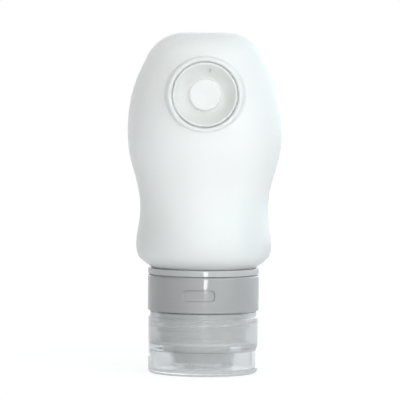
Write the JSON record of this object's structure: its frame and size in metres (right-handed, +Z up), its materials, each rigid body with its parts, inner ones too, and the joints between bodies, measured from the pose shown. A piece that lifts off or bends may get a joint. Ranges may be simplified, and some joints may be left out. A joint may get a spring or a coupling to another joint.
{
  "type": "travel silicone bottle",
  "caption": "Soft silicone travel squeeze bottle standing on its flip-top screw cap, with a clear collar, a turning label ring and a suction cup set in the front.",
  "frame": {"origin": "on the floor below the middle of the closed flip lid that the bottle stands on", "axes": "+Z up along the bottle, suction cup faces -Y, thumb notch of the lid faces +X"},
  "size_m": [0.0408, 0.0351, 0.09],
  "materials": {
    "milky_silicone": "matte, milky and translucent silicone",
    "clear_vinyl": "soft, clear and slightly grey",
    "clear_plastic": "clear moulded plastic, glossy",
    "grey_clear_plastic": "grey-tinted clear plastic, glossy",
    "white_silicone": "soft, satin",
    "white_plastic": "moulded, satin"
  },
  "bodies": {
    "bottle": {"bottle_body": "milky_silicone", "neck_collar": "grey_clear_plastic"},
    "ring": {"label_ring": "grey_clear_plastic"},
    "cup": {"suction_cup": "clear_vinyl"},
    "seal": {"seal_washer": "white_silicone"},
    "cap": {"cap_body": "clear_plastic", "valve": "white_silicone", "valve_retainer": "white_plastic", "hinge_strap": "clear_plastic"},
    "lid": {"flip_lid": "clear_plastic"}
  },
  "joints": [
    {"name": "ring_turn", "type": "hinge", "parent": "bottle", "child": "ring", "pos_m": [0, 0, 0.02135], "axis": [0, 0, 1], "continuous": true},
    {"name": "cup_turn", "type": "hinge", "parent": "bottle", "child": "cup", "pos_m": [0, -0.01667, 0.07373], "axis": [0, -0.9945, 0.1045], "continuous": true},
    {"name": "cap_lift", "type": "slide", "parent": "bottle", "child": "seal", "axis": [0, 0, -1], "range_m": [0, 0.0025]},
    {"name": "cap_turn", "type": "hinge", "parent": "seal", "child": "cap", "pos_m": [0, 0, 0.0115], "axis": [0, 0, -1], "range_deg": [0, 360]},
    {"name": "lid_flip", "type": "hinge", "parent": "cap", "child": "lid", "pos_m": [-0.01418, 0, 0.00628], "axis": [0, 1, 0], "range_deg": [0, 150], "deforming": ["hinge_strap"]}
  ],
  "couplings": [
    {"joint": "cap_lift", "follows": "cap_turn", "m_per_rad": 0.00039788}
  ]
}
